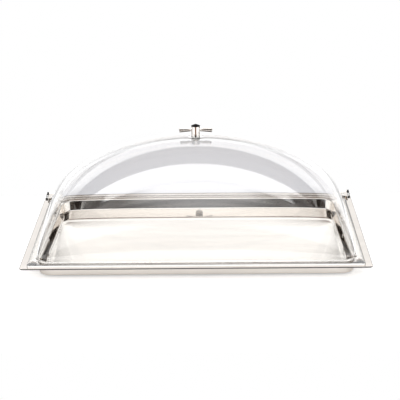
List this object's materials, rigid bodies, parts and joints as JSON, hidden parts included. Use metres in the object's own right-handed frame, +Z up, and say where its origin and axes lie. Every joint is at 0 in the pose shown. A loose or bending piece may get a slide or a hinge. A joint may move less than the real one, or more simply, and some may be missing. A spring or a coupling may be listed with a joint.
{
  "type": "roll-top display tray",
  "caption": "Shallow rectangular polished steel display tray under a clear domed lid that swings back on rear corner hinges, with a fluted T-shaped knob on the crown.",
  "frame": {"origin": "on the ground, under the middle of the tray", "axes": "+X along the long side to the right as seen from the front, +Y to the hinged rear side, +Z up; the lid is closed at rest"},
  "size_m": [0.57, 0.36, 0.2145],
  "materials": {
    "polished_steel": "mirror polished stainless steel",
    "clear_plastic": "clear, glossy",
    "black_plastic": "satin black",
    "chrome": "polished chrome",
    "fastener_steel": "plain bright steel",
    "foot_rubber": "matte",
    "seal_rubber": "pale silicone"
  },
  "bodies": {
    "base": {"base_tray": "polished_steel", "foot_front_left": "foot_rubber", "foot_front_right": "foot_rubber", "foot_rear_left": "foot_rubber", "foot_rear_right": "foot_rubber", "hinge_block_left": "black_plastic", "hinge_block_right": "black_plastic", "hinge_pin_left": "fastener_steel", "hinge_pin_right": "fastener_steel", "block_rivets": "fastener_steel"},
    "lid": {"hinge_leaf_left": "fastener_steel", "hinge_leaf_right": "fastener_steel", "leaf_rivets": "fastener_steel", "lid_dome": "clear_plastic", "knob_post": "chrome", "knob_wing_left": "chrome", "knob_wing_right": "chrome", "knob_cap": "black_plastic", "knob_gasket": "seal_rubber", "knob_inner_gasket": "seal_rubber", "knob_washer": "fastener_steel", "knob_screw": "fastener_steel"}
  },
  "joints": [
    {"name": "lid_swing", "type": "hinge", "parent": "base", "child": "lid", "pos_m": [0, 0.1736, 0.0301], "axis": [-1, 0, 0], "range_deg": [0, 100]}
  ]
}
